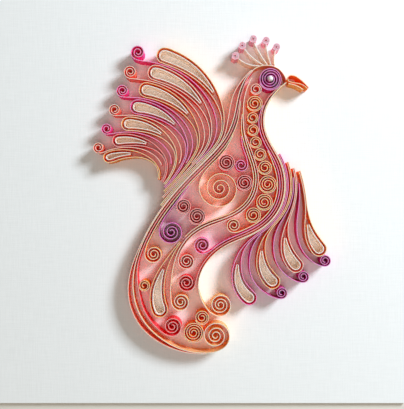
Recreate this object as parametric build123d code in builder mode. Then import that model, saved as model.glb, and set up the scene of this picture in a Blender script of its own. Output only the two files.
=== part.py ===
from build123d import *
import math
import os

os.makedirs("parts", exist_ok=True)

# Quilled paper picture of a bird: strips of coloured paper stand on edge on a square white board.
# Lengths are millimetres and angles degrees. The board lies flat with its back on z = 0, its middle
# on the z axis and its top edge towards +Y. The bird faces +X.

# Paper and board
card = 0.4  # thickness of the paper strips
glue = 0.1  # joint between two strips glued face to face
apart = 1.4  # middle line to middle line of strips that run side by side with air between them
fan_pitch = 0.8  # and of strips that run together at the root of a fan
swell = 3.4  # the most that an outline strip stands off its guide
heart_gap = 1.7  # middle line of a drop to middle line of the heart in it
strip_width = 10.0  # the strips stand this high above the board
board_thick = 3.0
board_side = 250.0
square = 1.0  # one square of the pattern that the bird is drawn on
bead_radius = 1.6
bead_seat = 1.2  # radius of the bead's flat underside

# Rolled ends
eye_hole = 1.0  # middle radius of the innermost turn of a scroll
roll_pitch = 1.5  # from turn to turn in the heart of a scroll, not less than card and glue
coil_pitch = 1.5  # from turn to turn in a coil
curl_pitch = 1.25  # from turn to turn in a small curl
peg_pitch = 0.65  # from turn to turn in a rolled peg
rim_ease = 2.0  # how far out in a scroll its spare room lies
leave_gap = 0.35  # a scroll's rim stands off the line that the strip leaves
peg_radius = 2.2
peg_eye = 0.45  # middle radius of the innermost turn of a rolled peg
drop_power = 2.0  # how late a drop swells on its way to the round end

# Smoothness of the plan
turn_step = 18.0  # a strip's sides are arcs of up to twice this turn
long_step = 5.0  # and of up to twice this length
point_step = 3.0  # a strip beside a guide is drawn through points this far apart
roll_step = 45.0  # a scroll is drawn through points this far round from each other
look_step = 0.6  # a strip is measured at least this often

beside = card + glue  # middle line to middle line of two strips glued face to face
board_face = Plane.XY.offset(board_thick)


def polar(centre, radius, angle):
    """The point at a radius and an angle from a centre."""
    turn = math.radians(angle)
    return (centre[0] + radius * math.cos(turn), centre[1] + radius * math.sin(turn))


def bends(knots, values):
    """Second slopes of the cubic curve through values at knots, whose end spans bend evenly."""
    last = len(knots) - 1
    found = [0.0] * (last + 1)
    if last < 2:
        return found
    upper = [-1.0] + [0.0] * last
    right = [0.0] * (last + 1)
    for k in range(1, last):
        before = knots[k] - knots[k - 1]
        after = knots[k + 1] - knots[k]
        change = 6 * ((values[k + 1] - values[k]) / after - (values[k] - values[k - 1]) / before)
        pivot = 2 * (before + after) - before * upper[k - 1]
        upper[k] = after / pivot
        right[k] = (change - before * right[k - 1]) / pivot
    found[last] = right[last - 1] / (1 + upper[last - 1])
    for k in range(last - 1, -1, -1):
        found[k] = right[k] - upper[k] * found[k + 1]
    return found


class Guide:
    """A smooth line through points, followed by the fraction of its way from 0 to 1."""

    def __init__(self, points):
        self.points = points
        self.knots = [0.0]
        for a, b in zip(points, points[1:]):
            self.knots.append(self.knots[-1] + math.dist(a, b))
        self.length = self.knots[-1]
        self.bends = [bends(self.knots, [p[axis] for p in points]) for axis in (0, 1)]

    def look(self, fraction):
        """Place and heading at a fraction of the way."""
        way = min(max(fraction, 0.0), 1.0) * self.length
        k = 0
        while k < len(self.knots) - 2 and self.knots[k + 1] < way:
            k += 1
        span = self.knots[k + 1] - self.knots[k]
        b = (way - self.knots[k]) / span
        a = 1 - b
        place = []
        slope = []
        for axis in (0, 1):
            y0 = self.points[k][axis]
            y1 = self.points[k + 1][axis]
            m0 = self.bends[axis][k]
            m1 = self.bends[axis][k + 1]
            place.append(a * y0 + b * y1 + ((a**3 - a) * m0 + (b**3 - b) * m1) * span**2 / 6)
            slope.append((y1 - y0) / span + ((3 * b**2 - 1) * m1 - (3 * a**2 - 1) * m0) * span / 6)
        size = math.hypot(slope[0], slope[1])
        return place[0], place[1], slope[0] / size, slope[1] / size

    def at(self, fraction, aside=0.0):
        """The point at a fraction of the way, moved aside to the left."""
        x, y, dx, dy = self.look(fraction)
        return (x - dy * aside, y + dx * aside)

    def along(self, start, end, aside=0.0, aside_end=None):
        """Points from one fraction to another, at a distance to the left that may change."""
        final = aside if aside_end is None else aside_end
        count = max(4, math.ceil(abs(end - start) * self.length / point_step))
        found = []
        for k in range(count):
            part = k / (count - 1)
            eased = part * part * (3 - 2 * part)
            found.append(self.at(start + (end - start) * part, aside + (final - aside) * eased))
        return found

    def fraction(self, way):
        """The fraction of the way that a length stands for."""
        return way / self.length


def between(first, second, share, start=0.0, end=1.0, count=7):
    """Points of the line that lies at a share of the way from one guide to another."""
    found = []
    for k in range(count):
        part = start + (end - start) * k / (count - 1)
        a = first.at(part)
        b = second.at(part)
        found.append((a[0] + (b[0] - a[0]) * share, a[1] + (b[1] - a[1]) * share))
    return found


def spiral(centre, outer, turns, start, sense, pitch=roll_pitch, glued=0.0, eye=eye_hole):
    """Points of a roll from its rim to its eye, its first turns glued together at the rim."""
    rim = outer - beside * glued
    loose = min(turns - glued, (rim - eye) / pitch)
    spare = rim - eye - pitch * loose
    total = loose + glued
    count = max(3, math.ceil(total * 360 / roll_step))
    found = []
    for k in range(count + 1):
        left = total * (1 - k / count)
        if left > loose:
            radius = rim + beside * (left - loose)
        else:
            radius = eye + pitch * left + spare * (left / loose) ** rim_ease
        found.append(polar(centre, radius, start + sense * 360 * total * k / count))
    return found


def scroll(points, squares, turns, sense, pitch=roll_pitch):
    """A strip along points whose end rolls up to a scroll on its left, sense 1, or its right, -1."""
    radius = squares * square
    x, y, dx, dy = Guide(points).look(1.0)
    reach = sense * (radius + leave_gap)
    centre = (x - dy * reach, y + dx * reach)
    start = math.degrees(math.atan2(y - centre[1], x - centre[0]))
    return points[:-1] + spiral(centre, radius, turns, start, sense, pitch)


def drop(axis, squares, inset=0.0, stem=0.0):
    """A loop along an axis: a stem of two strips side by side, then a drop with a round end."""
    radius = squares * square
    narrow = fan_pitch / 2
    middle = 1 - axis.fraction(radius)
    opening = (inset / (radius - narrow)) ** (1 / drop_power)
    first = stem + (1 - stem) * math.asin(opening) / (math.pi / 2) if inset else 0.0
    count = max(8, math.ceil((middle * (1 - first)) * axis.length / point_step))
    left = []
    right = []
    for k in range(count + 1):
        part = first + (1 - first) * k / count
        grown = max(0.0, (part - stem) / (1 - stem))
        half = narrow + (radius - narrow) * math.sin(grown * math.pi / 2) ** drop_power - inset
        left.append(axis.at(middle * part, half))
        right.append(axis.at(middle * part, -half))
    x, y, dx, dy = axis.look(middle)
    ahead = math.degrees(math.atan2(dy, dx))
    cap = [polar((x, y), radius - inset, ahead + turn) for turn in (60, 30, 0, -30, -60)]
    return left + cap + right[::-1]


def stations(points):
    """Places along a strip, each with its side direction, set closer where the strip turns more."""
    guide = Guide(points)
    count = max(10 * len(points), math.ceil(guide.length / look_step))
    looks = [guide.look(k / count) for k in range(count + 1)]
    spent = [0.0]
    for a, b in zip(looks, looks[1:]):
        turn = math.degrees(math.acos(min(1.0, a[2] * b[2] + a[3] * b[3])))
        spent.append(spent[-1] + max(turn / turn_step, math.dist(a[:2], b[:2]) / long_step))
    steps = 2 * math.ceil(spent[-1] / 2)
    found = []
    k = 0
    for step in range(steps + 1):
        aim = spent[-1] * step / steps
        while k < count - 1 and spent[k + 1] < aim:
            k += 1
        part = (aim - spent[k]) / max(spent[k + 1] - spent[k], 1e-9)
        x, y, dx, dy = guide.look((k + part) / count)
        found.append((x, y, -dy, dx))
    return found


# The strips of the picture: each node's name with the middle lines of its strips.
picture = {}
laid = []


def lay(name, *lines):
    """Put strips down on the board as one named piece."""
    picture.setdefault(name, []).extend(lines)
    for line in lines:
        guide = Guide(line)
        count = math.ceil(guide.length / look_step)
        laid.extend(guide.at(k / count) for k in range(count + 1))


def room(centre, walls):
    """Largest middle radius that a round coil can have at a place among strips."""
    return min(math.dist(centre, spot) for spot in walls) - beside


def coil(centre, outer, start=200.0, sense=1, pitch=coil_pitch, eye=eye_hole):
    """A coil whose last turn is glued into a round rim."""
    turns = 1 + (outer - beside - eye) / pitch
    return spiral(centre, outer, turns, start, sense, pitch=pitch, glued=1.0, eye=eye)


def snug(name, *places):
    """Lay coils that fill the room at places given in squares of the pattern."""
    for x, y in places:
        centre = (x * square, y * square)
        lay(name, coil(centre, room(centre, laid)))


def row(name, line, start, end):
    """Lay tight coils in a touching row along a line, each as large as the strips beside it allow."""
    walls = list(laid)
    steps = 600
    centre = None
    radius = 0.0
    for k in range(round(start * steps), round(end * steps)):
        spot = line.at(k / steps)
        reach = room(spot, walls)
        if centre is None or math.dist(centre, spot) >= radius + reach + beside:
            lay(name, coil(spot, reach))
            centre = spot
            radius = reach


def drawn(*points):
    """A guide through points given in squares of the pattern."""
    return Guide([(x * square, y * square) for x, y in points])


# Main lines: the back runs from the brow over head, neck and back to the end of the tail, the
# breast from the chin down the breast and belly to the inside of the tail, and the middle between.
back = drawn(
    (50, 70), (44, 77.5), (34, 78), (26, 71), (21.5, 60), (19, 48), (14, 36), (5, 25), (-6, 14),
    (-17, 2), (-28, -13), (-37, -31), (-41, -50), (-37, -69), (-25, -83), (-8, -91), (10, -91),
)
breast = drawn(
    (50, 68.5), (43.5, 62.5), (38, 54), (36.5, 44), (40, 33), (46, 22), (49, 9), (46.5, -5),
    (38, -16), (26, -23), (13, -29), (3, -38), (-2, -50), (0, -61), (6, -69),
)
middle = drawn(
    (29.5, 71), (25.8, 62), (24.4, 50), (25.2, 38), (28.6, 26), (32, 12), (28.5, -1), (19, -9.5), (5, -15),
    (-7, -22), (-15, -34), (-18, -47), (-18.5, -62),
)

# Outline: the back strips and the breast strips
lay("back_strip_peach", scroll(back.along(0, 1), 9, 3.2, 1))
lay("breast_strip_peach", scroll(breast.along(0, 1), 7, 3, 1))
lay("back_outer_rose", back.along(0.10, 0.19, -beside, -swell) + back.along(0.21, 0.30, -swell, -beside)
    + back.along(0.315, 0.56, -beside) + back.along(0.58, 0.76, -beside, -swell)
    + back.along(0.78, 0.97, -swell, -beside))
lay("back_inner_crimson", scroll(
    back.along(0.10, 0.15, beside, apart) + back.along(0.17, 0.62, apart)
    + back.along(0.64, 0.73, apart, swell) + back.along(0.75, 0.86, swell), 6, 2.6, 1))
lay("back_inner_coral", scroll(
    back.along(0.18, 0.23, apart + beside, 2 * apart) + back.along(0.25, 0.615, 2 * apart), 5.5, 2.6, 1))
lay("breast_outer_coral", breast.along(0.08, 0.66, beside))
lay("breast_inner_crimson", scroll(
    breast.along(0.02, 0.08, -beside, -apart) + breast.along(0.10, 0.88, -apart), 5.5, 2.6, -1))
lay("breast_inner_magenta", scroll(
    breast.along(0.11, 0.17, -apart - beside, -2 * apart) + breast.along(0.19, 0.77, -2 * apart),
    5.4, 2.6, -1))
lay("breast_inner_coral", scroll(
    breast.along(0.26, 0.32, -2 * apart - beside, -3 * apart) + breast.along(0.34, 0.66, -3 * apart),
    4.4, 2.4, -1))

# Middle strips, from the head down between shoulder and breast into the tail
lay("middle_strip_peach", scroll(middle.along(0.0, 1.0), 5.5, 2.6, 1))
lay("middle_strip_rose", scroll(
    middle.along(0.22, 0.27, beside, apart) + middle.along(0.29, 0.83, apart), 5.0, 2.6, 1))
lay("middle_strip_coral", middle.along(0.14, 0.19, -beside, -apart) + middle.along(0.21, 0.75, -apart))
lay("neck_scroll_magenta", scroll(
    middle.along(0.22, 0.26, -apart - beside, -2 * apart) + middle.along(0.28, 0.32, -2 * apart),
    4.0, 2.3, -1))

# Shoulder: a large loose scroll that comes down the neck, and one behind it
lay("shoulder_scroll_coral", scroll(
    back.along(0.26, 0.31, 2 * apart + beside, 3 * apart) + back.along(0.33, 0.37, 3 * apart), 13, 3.4, 1))
lay("flank_scroll_violet", scroll(
    back.along(0.42, 0.47, 2 * apart + beside, 3 * apart) + back.along(0.49, 0.54, 3 * apart), 7.6, 3, 1))

# Breast: a row of tight coils
row("breast_coils_orange", drawn(
    (31.2, 56), (30.0, 46), (31.5, 34), (36.0, 22), (38.9, 10), (37.2, -2), (30, -10.5), (21, -15.5),
), 0.0, 0.93)

# Wing: feathers fan out from the back between a leading and a trailing line
feathers = 7
wing_root = 0.50
wing_taper = 0.22  # share of its line that the last feather leaves out, so that the roots taper off
curl_root = 0.25  # share of its line that the first curl leaves out
curl_taper = 0.11  # share that the last curl leaves out beyond that
wing_step = 3 * fan_pitch  # a feather's two strips and the curl beside it
fan_side = beside + 1.5 * fan_pitch  # a guide to the middle of the first feather beside it
wing_lead = Guide(
    back.along(wing_root, 0.32, -fan_side)
    + drawn((12, 40), (11.5, 52), (6, 64), (-4, 75), (-18, 83), (-36, 87)).points
)
wing_trail = Guide(
    [back.at(wing_root, -fan_side - (feathers - 1) * wing_step)]
    + drawn((-27, 8), (-26, 17), (-33, 24), (-47, 26), (-62, 21)).points
)
wing_colours = ("coral", "rose", "orange", "magenta", "coral", "crimson", "orange")
curl_radii = (4.6, 4.0, 3.8, 3.6, 3.4, 3.4)
wing_radii = (4.7, 4.5, 4.3, 4.2, 4.0, 3.6, 3.1)
for k in range(feathers):
    share = k / (feathers - 1)
    axis = Guide(between(wing_lead, wing_trail, share, wing_taper * share, 0.93, 16))
    stem = 0.45 - 0.25 * share
    lay(f"wing_feather_{k + 1}_{wing_colours[k]}", drop(axis, wing_radii[k], 0.0, stem))
    lay("wing_hearts_cream", drop(axis, wing_radii[k], heart_gap, stem))
for k in range(feathers - 1):
    share = (k + 0.5) / (feathers - 1)
    line = between(wing_lead, wing_trail, share, curl_root + curl_taper * share, 1.0, 16)
    lay(f"wing_curls_{('magenta', 'rose')[k % 2]}", scroll(line, curl_radii[k], 2.2, -1, curl_pitch))

# Plumes: long drops that leave the breast and sweep down beside the tail
plumes = 4
plume_root = 0.29
plume_taper = 0.20  # share of its line that the last plume leaves out
plume_step = 3 * fan_pitch
plume_trail = Guide(
    breast.along(plume_root, 0.58, fan_side)
    + drawn((24, -31), (21, -41), (22, -51), (29, -60), (40, -65)).points
)
plume_lead = Guide(
    [breast.at(plume_root, fan_side + (plumes - 1) * plume_step)]
    + drawn((60, 8), (62, -6), (63.5, -18), (68.5, -29), (78, -36)).points
)
plume_colours = ("magenta", "orange", "rose", "coral")
for k in range(plumes):
    share = k / (plumes - 1)
    axis = Guide(between(plume_trail, plume_lead, share, plume_taper * share, 0.92, 16))
    stem = 0.6 - 0.2 * share
    lay(f"plume_{k + 1}_{plume_colours[k]}", drop(axis, 4.4, 0.0, stem))
    lay("plume_hearts_cream", drop(axis, 4.4, heart_gap, stem))
for k in range(plumes - 1):
    share = (k + 0.5) / (plumes - 1)
    line = between(plume_trail, plume_lead, share, (0.53, 0.18, 0.27)[k], 1.0, 16)
    lay("plume_curls_violet", scroll(line, 3.6, 2.4, 1, curl_pitch))

# Tail: a long drop down the middle
tail_axis = drawn((-13, -26.5), (-19.5, -36), (-25, -48), (-26.5, -60), (-23, -70.5))
lay("tail_drop_orange", drop(tail_axis, 4.6))
lay("tail_drop_cream", drop(tail_axis, 4.6, heart_gap))

# Head
lay("beak_upper_orange", drop(drawn((63, 65), (57, 69.5), (50.8, 71)), 2.0))
lay("beak_lower_coral", drawn((51.3, 67.8), (55.5, 66.8), (60, 64.2)).along(0, 1))
eye_spot = (40.5, 70.5)
snug("eye_coil_violet", eye_spot)
snug("cheek_coil_rose", (32, 64.6))
crest_centre = (38.0 * square, 68.0 * square)
crest_reach = (20.0, 23.0, 25.0, 24.0, 22.0)
for k in range(5):
    foot = back.at(0.043 + 0.009 * k, -card)
    angle = 74 + 16 * k
    tip = polar(crest_centre, crest_reach[k] * square, angle)
    bend = polar(crest_centre, 0.7 * crest_reach[k] * square, angle - 5)
    lay("crest_strips_cream", Guide([foot, bend, tip]).along(0, 1))
    peg = polar(crest_centre, crest_reach[k] * square + peg_radius + leave_gap, angle)
    lay("crest_pegs_pink", coil(peg, peg_radius, pitch=peg_pitch, eye=peg_eye))

# Coils that fill the gaps
snug("body_coils_crimson", (25.2, 9), (-3, -11), (-11, -5), (14.5, 21))
snug("tail_coils_orange", (-5, -80), (0, -71), (-34.2, -52))

# Building the pieces


def strip_plan(points):
    """Plan of one strip: arcs along both of its faces, closed by its two cut ends."""
    spots = stations(points)
    with BuildSketch() as plan:
        with BuildLine():
            faces = []
            for side in (card / 2, -card / 2):
                face = [(x + nx * side, y + ny * side) for x, y, nx, ny in spots]
                for a, b, c in zip(face[:-2:2], face[1:-1:2], face[2::2]):
                    ThreePointArc(a, b, c)
                faces.append(face)
            Line(faces[0][0], faces[1][0])
            Line(faces[0][-1], faces[1][-1])
        make_face()
    return plan.sketch


# Board: a square panel with its back on z = 0
with BuildPart() as backing_board:
    with BuildSketch():
        Rectangle(board_side, board_side)
    extrude(amount=board_thick)
backing_board.part.label = "backing_board"
export_step(backing_board.part, "parts/backing_board.step")

# Eye: a bead with a flat underside, seated on the violet coil
paper_top = board_thick + strip_width
bead_rise = math.sqrt(bead_radius**2 - bead_seat**2)
with BuildPart() as eye_bead:
    with BuildSketch(Plane.XZ):
        with Locations((0, bead_rise)):
            Circle(bead_radius)
        Rectangle(bead_radius, bead_radius + bead_rise, align=Align.MIN, mode=Mode.INTERSECT)
    revolve(axis=Axis.Z)
eye_bead.part.label = "eye_bead"
eye_bead.part.position = (eye_spot[0] * square, eye_spot[1] * square, paper_top)
export_step(eye_bead.part, "parts/eye_bead.step")

# Paper: every node's strips stand on edge on the board's face
for name, lines in picture.items():
    with BuildPart() as paper:
        with BuildSketch(board_face):
            for line in lines:
                add(strip_plan(line))
        extrude(amount=strip_width)
    paper.part.label = name
    export_step(paper.part, f"parts/{name}.step")
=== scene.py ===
# %% [markdown]
# Quilled paper picture of a bird, dressed for its portrait.
# Quilling is paper work: narrow strips of coloured paper are rolled, looped and bent, and glued to a
# board on their edges. The strips and the board come from the CAD model as they are. What is left
# for this script is the paper itself, the board's linen face, the light that glows between the
# strips, and the camera that looks straight down on the picture.

import bpy
import math
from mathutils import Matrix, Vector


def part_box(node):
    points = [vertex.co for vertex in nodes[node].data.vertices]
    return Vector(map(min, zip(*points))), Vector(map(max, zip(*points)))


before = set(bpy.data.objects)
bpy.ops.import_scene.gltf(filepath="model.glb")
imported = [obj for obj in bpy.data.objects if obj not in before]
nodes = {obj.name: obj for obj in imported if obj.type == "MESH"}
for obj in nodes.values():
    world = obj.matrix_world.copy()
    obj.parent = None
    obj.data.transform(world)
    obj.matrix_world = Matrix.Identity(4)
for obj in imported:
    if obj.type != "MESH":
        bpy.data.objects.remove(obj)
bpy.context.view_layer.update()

# %% [markdown]
# The camera hangs almost over the middle of the board. A near camera shows the inner faces of the
# outer strips, as in the photograph, and a far one would show only their edges. The rise here is an
# estimate that gives the view of a common lens. The photograph's strips show somewhat broader faces,
# so its camera was probably nearer.

# %% Camera
board_low, board_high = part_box("backing_board")
board_top = board_high.z
FRAME_WIDE, FRAME_HIGH = 404, 409
EDGE_ROW = 403  # the picture's row at which the board's bottom edge shows
view_high = 0.2495  # metres of the board from the top of the picture to its bottom
camera_rise = 0.355  # metres from the board up to the camera
below_edge = view_high * (FRAME_HIGH - EDGE_ROW) / FRAME_HIGH

camera_data = bpy.data.cameras.new("camera")
camera_data.sensor_width = 36
camera_data.lens = camera_data.sensor_width * camera_rise / view_high
camera_data.dof.use_dof = False
camera = bpy.data.objects.new("camera", camera_data)
camera.location = (0, board_low.y - below_edge + view_high / 2, board_top + camera_rise)
bpy.context.collection.objects.link(camera)
bpy.context.scene.camera = camera
view_wide = view_high * FRAME_WIDE / FRAME_HIGH
print("lens", round(camera_data.lens, 1), "mm, view", round(1000 * view_wide), "mm wide")

# %% [markdown]
# A room's light, a floor and a paper are all made of shader nodes. Adding a node and filling in its
# sockets takes a line for each value, so small helpers do that. The last one lets the camera alone
# see a shader: light that bounces off the same surface still meets the usual one.

# %% Node helpers


def new_material(name):
    """An empty material with a Principled shader, and that shader."""
    made = bpy.data.materials.new(name)
    made.use_nodes = True
    return made, made.node_tree.nodes["Principled BSDF"]


def add(tree, kind, values=None, **settings):
    """A node with its settings, and with plain values on some of its sockets."""
    node = tree.nodes.new(kind)
    for key, value in settings.items():
        setattr(node, key, value)
    for key, value in (values or {}).items():
        node.inputs[key].default_value = value
    return node


def only_camera_sees(tree, shown, usual, share=None):
    """Mixes in a shader that is shown to the camera alone, in full or by a share; gives the mix."""
    factor = add(tree, "ShaderNodeLightPath").outputs["Is Camera Ray"]
    if share is not None:
        part = add(tree, "ShaderNodeMath", operation="MULTIPLY")
        tree.links.new(share, part.inputs[0])
        tree.links.new(factor, part.inputs[1])
        factor = part.outputs[0]
    mix = add(tree, "ShaderNodeMixShader")
    for place, item in enumerate((factor, usual, shown)):
        tree.links.new(item, mix.inputs[place])
    return mix.outputs[0]


# %% [markdown]
# The picture lay by a window. A soft lamp, low on the upper right, draws the long shadows to the
# lower left. A wider and weaker one, high over the bottom of the picture, fills them a little.

# %% Lamps
bpy.context.scene.view_settings.view_transform = "Standard"
WINDOW_COOL = (0.87, 0.95, 1.0)
SKY_WARM = (1.0, 0.95, 0.86)


def soft_lamp(name, turn, rise, distance, size, watts, colour):
    """A square lamp that shines on the board's middle, at a turn round it and a rise, in degrees."""
    data = bpy.data.lights.new(name, "AREA")
    data.shape = "SQUARE"
    data.size = size
    data.energy = watts
    data.color = colour
    lamp = bpy.data.objects.new(name, data)
    round_it, above = math.radians(turn), math.radians(rise)
    flat = math.cos(above) * distance
    lamp.location = (flat * math.cos(round_it), flat * math.sin(round_it), math.sin(above) * distance)
    lamp.rotation_euler = (-lamp.location).to_track_quat("-Z", "Y").to_euler()
    bpy.context.collection.objects.link(lamp)
    return lamp


window = soft_lamp("window", turn=36, rise=37, distance=1.1, size=0.32, watts=12.4, colour=WINDOW_COOL)
skylight = soft_lamp("skylight", turn=285, rise=72, distance=1.3, size=0.7, watts=4.2, colour=SKY_WARM)
print("lamps", window.name, skylight.name)

# %% [markdown]
# The room's pale walls send a weak warm light from all sides. The camera sees them paler than the
# light that they give, so a view from the side has a pale backdrop and the shadows stay. Between the
# strips, light bounces from paper to paper many times before it comes out, so it is followed far.

# %% Room
ROOM_WARM = (1.0, 0.93, 0.78, 1)
ROOM_STRENGTH = 0.18
WALL_PALE = (0.80, 0.78, 0.74, 1)

world = bpy.data.worlds.new("room")
bpy.context.scene.world = world
world.use_nodes = True
tree = world.node_tree
room_light = tree.nodes["Background"]
room_light.inputs["Color"].default_value = ROOM_WARM
room_light.inputs["Strength"].default_value = ROOM_STRENGTH
pale_wall = add(tree, "ShaderNodeBackground", {"Color": WALL_PALE})
backdrop = only_camera_sees(tree, pale_wall.outputs[0], room_light.outputs[0])
tree.links.new(backdrop, tree.nodes["World Output"].inputs["Surface"])
bpy.context.scene.cycles.diffuse_bounces = 24
bpy.context.scene.cycles.max_bounces = 32
print("room light", ROOM_STRENGTH, "and", bpy.context.scene.cycles.diffuse_bounces, "diffuse bounces")

# %% [markdown]
# The picture lies on a plain pale floor, one plane that fills every view. Lamps near the picture
# leave a far floor dark, so away from the picture the camera sees it fade into the pale walls.

# %% Floor
FLOOR_WIDE = 6  # metres
FLOOR_TONE = (0.78, 0.74, 0.68, 1)
FADE_RANGE = {"From Min": 0.3, "From Max": 1.4}  # metres from the middle of the picture

bpy.ops.object.select_all(action="DESELECT")
bpy.ops.mesh.primitive_plane_add(size=FLOOR_WIDE, location=(0, 0, 0))
floor = bpy.context.active_object
floor.name = "floor"
floor_paint, floor_shader = new_material("pale_floor")
floor_shader.inputs["Base Color"].default_value = FLOOR_TONE
floor_shader.inputs["Roughness"].default_value = 0.8
tree = floor_paint.node_tree
spot = add(tree, "ShaderNodeTexCoord")
away = add(tree, "ShaderNodeVectorMath", operation="LENGTH")
tree.links.new(spot.outputs["Object"], away.inputs[0])
fade = add(tree, "ShaderNodeMapRange", FADE_RANGE, interpolation_type="SMOOTHSTEP")
tree.links.new(away.outputs["Value"], fade.inputs["Value"])
glow = add(tree, "ShaderNodeEmission", {"Color": WALL_PALE})
faded = only_camera_sees(tree, glow.outputs[0], floor_shader.outputs[0], share=fade.outputs[0])
tree.links.new(faded, tree.nodes["Material Output"].inputs["Surface"])
floor.data.materials.append(floor_paint)
print("floor at", round(floor.location.z, 4))

# %% [markdown]
# All the papers share one pattern of fibres, so it is made once as a node group with named sockets,
# and each paper fills in its own colours. One helper makes such a group, the other mixes two colours.

# %% Group helpers


def new_group(name, inputs, outputs):
    """A shader node group with its named sockets, and its two end nodes."""
    group = bpy.data.node_groups.new(name, "ShaderNodeTree")
    for label, kind, value in inputs:
        socket = group.interface.new_socket(name=label, in_out="INPUT", socket_type=kind)
        socket.default_value = value
    for label, kind in outputs:
        group.interface.new_socket(name=label, in_out="OUTPUT", socket_type=kind)
    start = group.nodes.new("NodeGroupInput")
    end = group.nodes.new("NodeGroupOutput")
    return group, start, end


def mixed(tree, factor, first, second, blend="MIX"):
    """A colour mix whose factor and colours are sockets or values; gives the colour that comes out."""
    node = add(tree, "ShaderNodeMix", data_type="RGBA", blend_type=blend)
    for place, item in ((0, factor), (6, first), (7, second)):
        if isinstance(item, bpy.types.NodeSocket):
            tree.links.new(item, node.inputs[place])
        else:
            node.inputs[place].default_value = item
    return node.outputs[2]


# %% [markdown]
# Coloured craft paper is dyed through. Its cut edge looks up to the light, and the light on it is
# painted: the edge gets a far paler colour than the face, a painted highlight. So the paper needs two
# colours and a mask between them. The strips stand upright, so a face that looks up is a cut edge,
# and the normal's z tells them apart. Fine fibres and wider soft clouds mottle both.

# %% Paper group
HIGHLIGHT_LOOKS_UP = {"From Min": 0.6, "From Max": 0.9}  # the normal's z from a face to a cut edge, where the painted highlight goes
FIBRE_NOISE = {"Scale": 1400, "Detail": 4, "Roughness": 0.65}
CLOUD_NOISE = {"Scale": 90, "Detail": 3}
CLOUD_SHADE = {"To Min": 0.82, "To Max": 1.12}
FIBRE_SHADE = {"From Min": 0.3, "From Max": 0.7, "To Min": 0.9, "To Max": 1.06}

# The second colour socket holds the painted highlight of the cut edges.
paper_group, paper_in, paper_out = new_group(
    "paper",
    [("Face", "NodeSocketColor", (0.9, 0.5, 0.4, 1)), ("Painted Highlight", "NodeSocketColor", (1, 0.85, 0.8, 1)),
     ("Mottle", "NodeSocketFloat", 0.1)],
    [("Colour", "NodeSocketColor"), ("Height", "NodeSocketFloat")],
)
spot = add(paper_group, "ShaderNodeTexCoord")
upward = add(paper_group, "ShaderNodeSeparateXYZ")
paper_group.links.new(spot.outputs["Normal"], upward.inputs[0])
# The mask picks the faces that look up, which get the painted highlight.
painted_highlight_mask = add(paper_group, "ShaderNodeMapRange", HIGHLIGHT_LOOKS_UP)
paper_group.links.new(upward.outputs["Z"], painted_highlight_mask.inputs["Value"])
fibres = add(paper_group, "ShaderNodeTexNoise", FIBRE_NOISE)
clouds = add(paper_group, "ShaderNodeTexNoise", CLOUD_NOISE)
for noise in (fibres, clouds):
    paper_group.links.new(spot.outputs["Object"], noise.inputs["Vector"])
# Where the mask is high, the painted highlight colour takes the place of the face colour.
face_and_painted_highlight = mixed(paper_group, painted_highlight_mask.outputs[0], paper_in.outputs["Face"], paper_in.outputs["Painted Highlight"])
shade = add(paper_group, "ShaderNodeMapRange", CLOUD_SHADE)
paper_group.links.new(clouds.outputs["Fac"], shade.inputs["Value"])
darker = mixed(paper_group, paper_in.outputs["Mottle"], face_and_painted_highlight, shade.outputs[0], "MULTIPLY")
speck = add(paper_group, "ShaderNodeMapRange", FIBRE_SHADE)
paper_group.links.new(fibres.outputs["Fac"], speck.inputs["Value"])
final_tone = mixed(paper_group, 1.0, darker, speck.outputs[0], "MULTIPLY")
paper_group.links.new(final_tone, paper_out.inputs["Colour"])
paper_group.links.new(fibres.outputs["Fac"], paper_out.inputs["Height"])
print("paper group", len(paper_group.nodes), "nodes")

# %% [markdown]
# Nine papers, each with the tone of its face and the painted highlight of its cut edge. Some of the
# light that enters thin paper comes out a little way off, which Subsurface gives to the strips that
# the camera sees. It reaches as far as the face's colour says, so red travels furthest. In light that
# has bounced, Cycles leaves it out, and there the tones alone carry the glow.

# %% Paper materials
papers = {  # linear tones: the face, then the painted highlight of the cut edge
    "peach": ((0.99, 0.58, 0.25), (1.00, 0.87, 0.70)),
    "coral": ((0.99, 0.40, 0.10), (1.00, 0.78, 0.56)),
    "orange": ((0.99, 0.28, 0.03), (1.00, 0.68, 0.42)),
    "crimson": ((0.96, 0.06, 0.08), (1.00, 0.46, 0.44)),
    "rose": ((0.99, 0.26, 0.17), (1.00, 0.70, 0.60)),
    "magenta": ((0.95, 0.08, 0.38), (0.98, 0.40, 0.64)),
    "violet": ((0.72, 0.05, 0.38), (0.84, 0.34, 0.66)),
    "cream": ((0.99, 0.86, 0.75), (1.00, 0.98, 0.94)),
    "pink": ((0.97, 0.40, 0.54), (0.98, 0.62, 0.72)),
}
PAPER_MOTTLE = 0.5
PAPER_SHINES_THROUGH = 0.4  # share of the light that enters the sheet
PAPER_GLOW_REACH = 0.001  # metres that the brightest red travels in it
PAPER_TOOTH = {"Strength": 0.25, "Distance": 0.00006}  # how the fibres stand out


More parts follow.
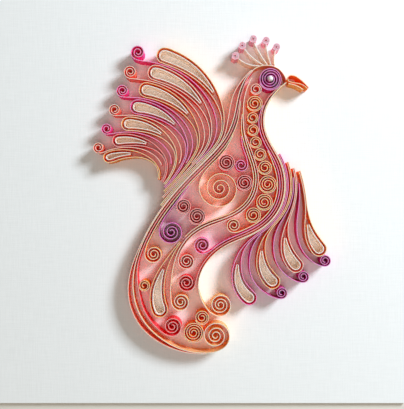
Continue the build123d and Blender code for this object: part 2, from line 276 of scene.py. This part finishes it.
def paper_material(name, face, painted_highlight):
    """Matte craft paper in one colour, with a painted highlight on its cut edge, that lets some light
    through.
    """
    made, shader = new_material("paper_" + name)
    tree = made.node_tree
    # The second tone is the painted highlight of the cut edge.
    tones = {"Face": (*face, 1), "Painted Highlight": (*painted_highlight, 1), "Mottle": PAPER_MOTTLE}
    sheet = add(tree, "ShaderNodeGroup", tones, node_tree=paper_group)
    tree.links.new(sheet.outputs["Colour"], shader.inputs["Base Color"])
    tooth = add(tree, "ShaderNodeBump", PAPER_TOOTH)
    tree.links.new(sheet.outputs["Height"], tooth.inputs["Height"])
    tree.links.new(tooth.outputs["Normal"], shader.inputs["Normal"])
    shader.inputs["Roughness"].default_value = 0.72
    shader.inputs["Specular IOR Level"].default_value = 0.3
    shader.inputs["Subsurface Weight"].default_value = PAPER_SHINES_THROUGH
    shader.inputs["Subsurface Radius"].default_value = face
    shader.inputs["Subsurface Scale"].default_value = PAPER_GLOW_REACH
    return made


paper_stock = {name: paper_material(name, *tones) for name, tones in papers.items()}
print("papers", ", ".join(paper_stock))

# %% [markdown]
# The board is an artist's panel faced with primed linen. Its threads are about half a millimetre
# wide and uneven: noise that is drawn out along X gives the threads one way, noise drawn out along
# Y the other way, and each is a ridge where the noise is high.

# %% Linen board
ALONG_THREAD, ACROSS_THREAD, INTO_BOARD = 90, 1500, 300  # how fine the noise is, per metre
LINEN_RELIEF = {"Strength": 0.2, "Distance": 0.0002}
LINEN_SHADE = {"From Min": 0.7, "From Max": 1.3, "To Min": 0.97, "To Max": 1.02}
PRIMER_WHITE = (0.93, 0.95, 0.97, 1)

linen, linen_shader = new_material("linen_board")
tree = linen.node_tree
spot = add(tree, "ShaderNodeTexCoord")
threads = []
for fineness in ((ALONG_THREAD, ACROSS_THREAD, INTO_BOARD), (ACROSS_THREAD, ALONG_THREAD, INTO_BOARD)):
    drawn_out = add(tree, "ShaderNodeMapping", {"Scale": fineness})
    tree.links.new(spot.outputs["Object"], drawn_out.inputs["Vector"])
    thread = add(tree, "ShaderNodeTexNoise", {"Scale": 1.0, "Detail": 2, "Roughness": 0.4})
    tree.links.new(drawn_out.outputs["Vector"], thread.inputs["Vector"])
    threads.append(thread.outputs["Fac"])
weave = add(tree, "ShaderNodeMath", operation="ADD")
tree.links.new(threads[0], weave.inputs[0])
tree.links.new(threads[1], weave.inputs[1])
relief = add(tree, "ShaderNodeBump", LINEN_RELIEF)
tree.links.new(weave.outputs[0], relief.inputs["Height"])
tree.links.new(relief.outputs["Normal"], linen_shader.inputs["Normal"])
ridge = add(tree, "ShaderNodeMapRange", LINEN_SHADE)
tree.links.new(weave.outputs[0], ridge.inputs["Value"])
primer = mixed(tree, 1.0, PRIMER_WHITE, ridge.outputs[0], "MULTIPLY")
tree.links.new(primer, linen_shader.inputs["Base Color"])
linen_shader.inputs["Roughness"].default_value = 0.85
print("linen", len(tree.nodes), "nodes")

# %% [markdown]
# The eye is half a pearl: a warm white and a cool white in soft clouds, under a clear coat.

# %% Pearl bead
PEARL_WARM = (0.95, 0.90, 0.88, 1)
PEARL_COOL = (0.88, 0.90, 0.94, 1)

pearl, pearl_shader = new_material("pearl")
tree = pearl.node_tree
spot = add(tree, "ShaderNodeTexCoord")
cloud = add(tree, "ShaderNodeTexNoise", {"Scale": 500, "Detail": 2})
tree.links.new(spot.outputs["Object"], cloud.inputs["Vector"])
lustre = mixed(tree, cloud.outputs["Fac"], PEARL_WARM, PEARL_COOL)
tree.links.new(lustre, pearl_shader.inputs["Base Color"])
pearl_shader.inputs["Roughness"].default_value = 0.22
pearl_shader.inputs["Coat Weight"].default_value = 0.6
print("pearl", len(tree.nodes), "nodes")

# %% [markdown]
# The pieces come from the CAD model with their shapes finished, so each only gets its material. A
# strip's name ends in the name of its paper, which lets one loop dress them all.

# %% Dress the CAD pieces
for name, node in nodes.items():
    if name == "backing_board":
        finish = linen
    elif name == "eye_bead":
        finish = pearl
    else:
        paper_name = name.rsplit("_", 1)[1]
        finish = paper_stock[paper_name]
    node.data.materials.clear()
    node.data.materials.append(finish)
print("dressed", len(nodes), "pieces")
